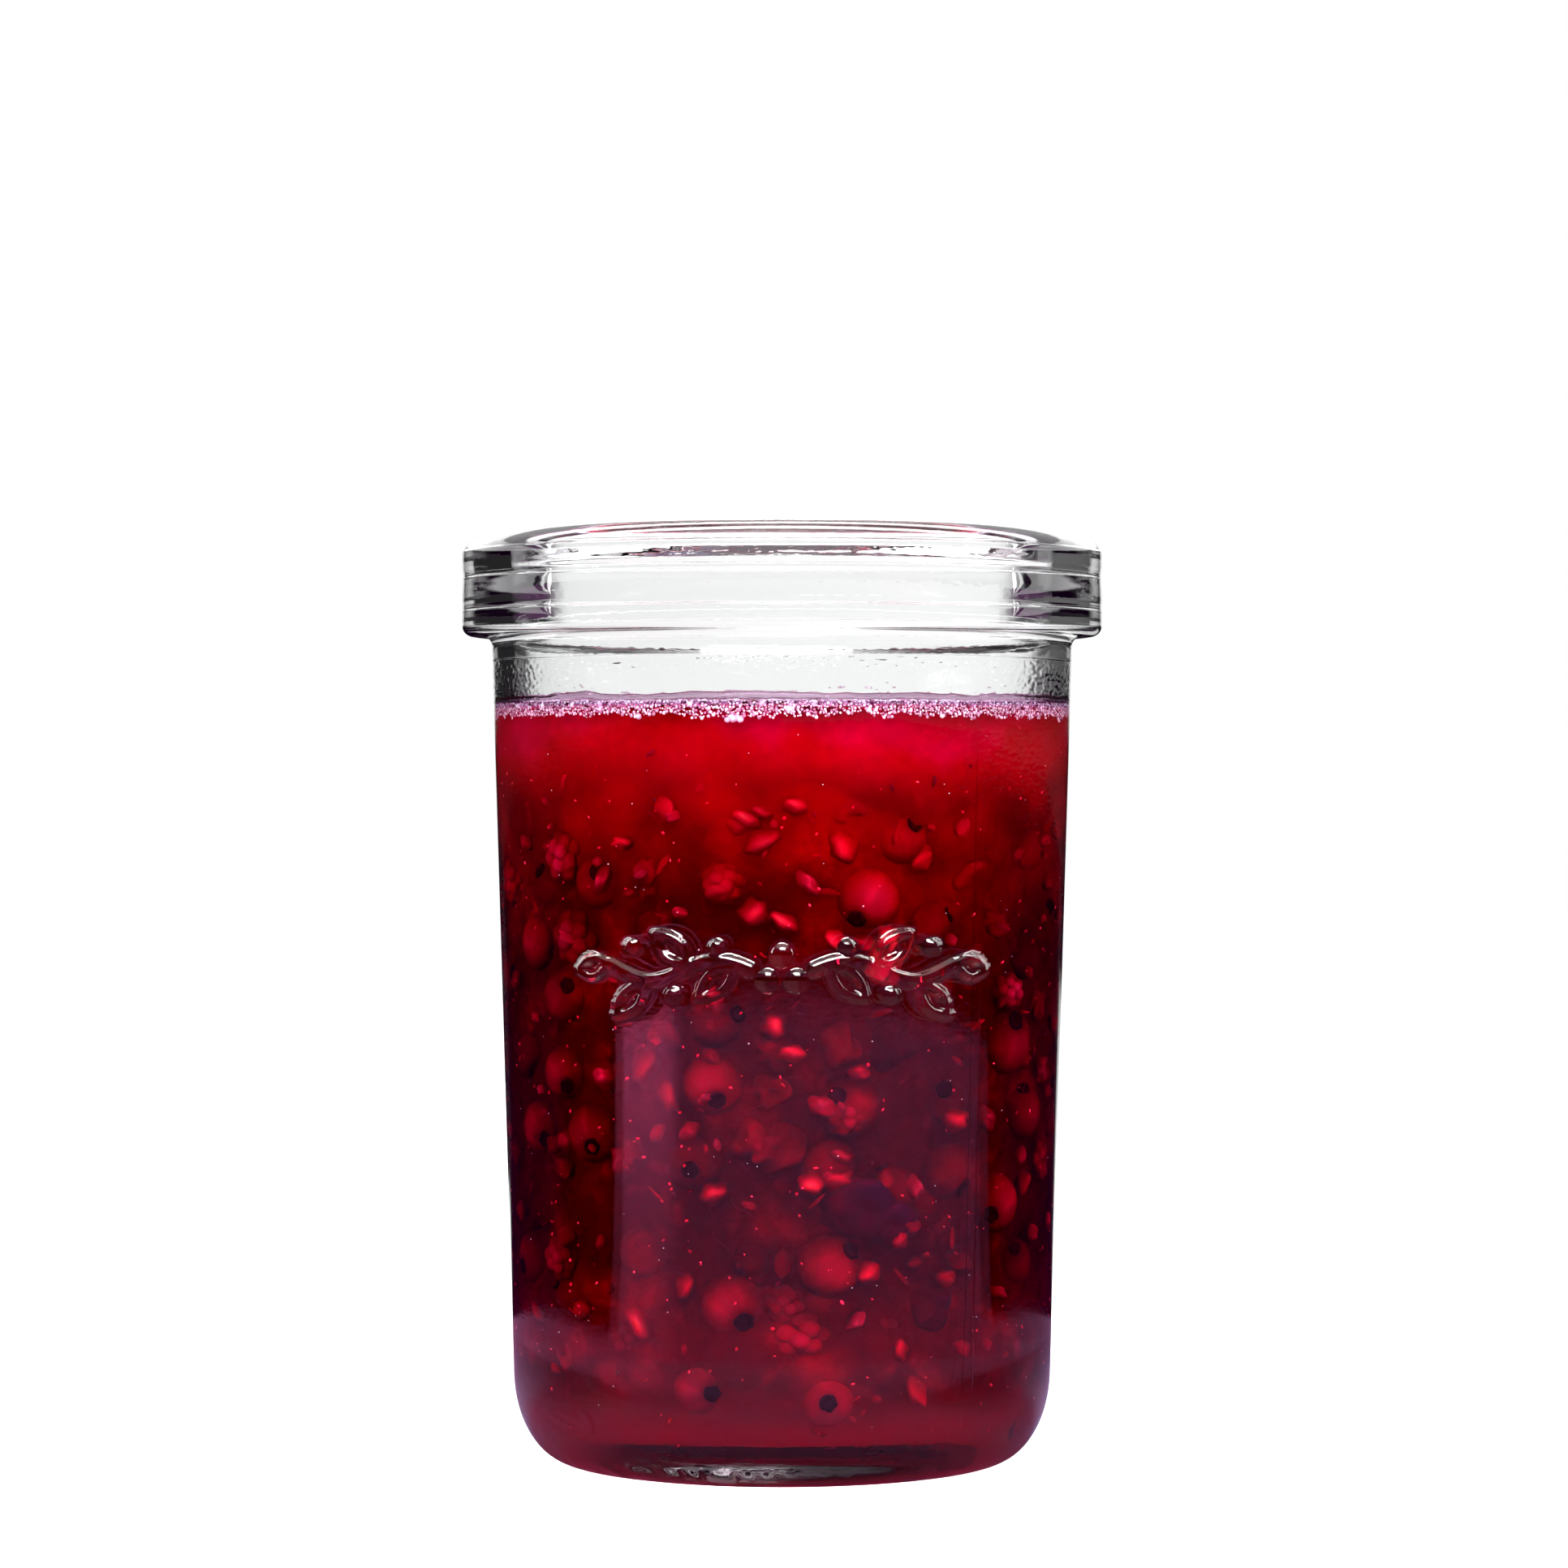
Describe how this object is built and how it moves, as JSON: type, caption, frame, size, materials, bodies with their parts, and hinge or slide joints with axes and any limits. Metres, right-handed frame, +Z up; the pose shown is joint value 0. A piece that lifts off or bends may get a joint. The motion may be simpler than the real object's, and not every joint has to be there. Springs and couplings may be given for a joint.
{
  "type": "open glass jar of red fruit compote",
  "caption": "Tall open glass preserving jar with a thick rim and a rounded foot, filled with red fruit compote under a collar of froth.",
  "frame": {"origin": "on the jar's upright axis, at the plane that the foot stands on", "axes": "+Z up along the jar's axis; the embossed side of the jar faces -Y, +X is to its right seen from the front"},
  "size_m": [0.096, 0.096, 0.1391],
  "materials": {
    "clear_glass": "clear pressed glass, smooth outside, faintly rippled inside",
    "red_compote": "wet, translucent crimson to wine red with pieces of fruit",
    "pink_froth": "fine wet bubbles, white to pink"
  },
  "bodies": {
    "root": {"glass_jar": "clear_glass", "fruit_compote": "red_compote", "froth_collar": "pink_froth"}
  },
  "joints": []
}
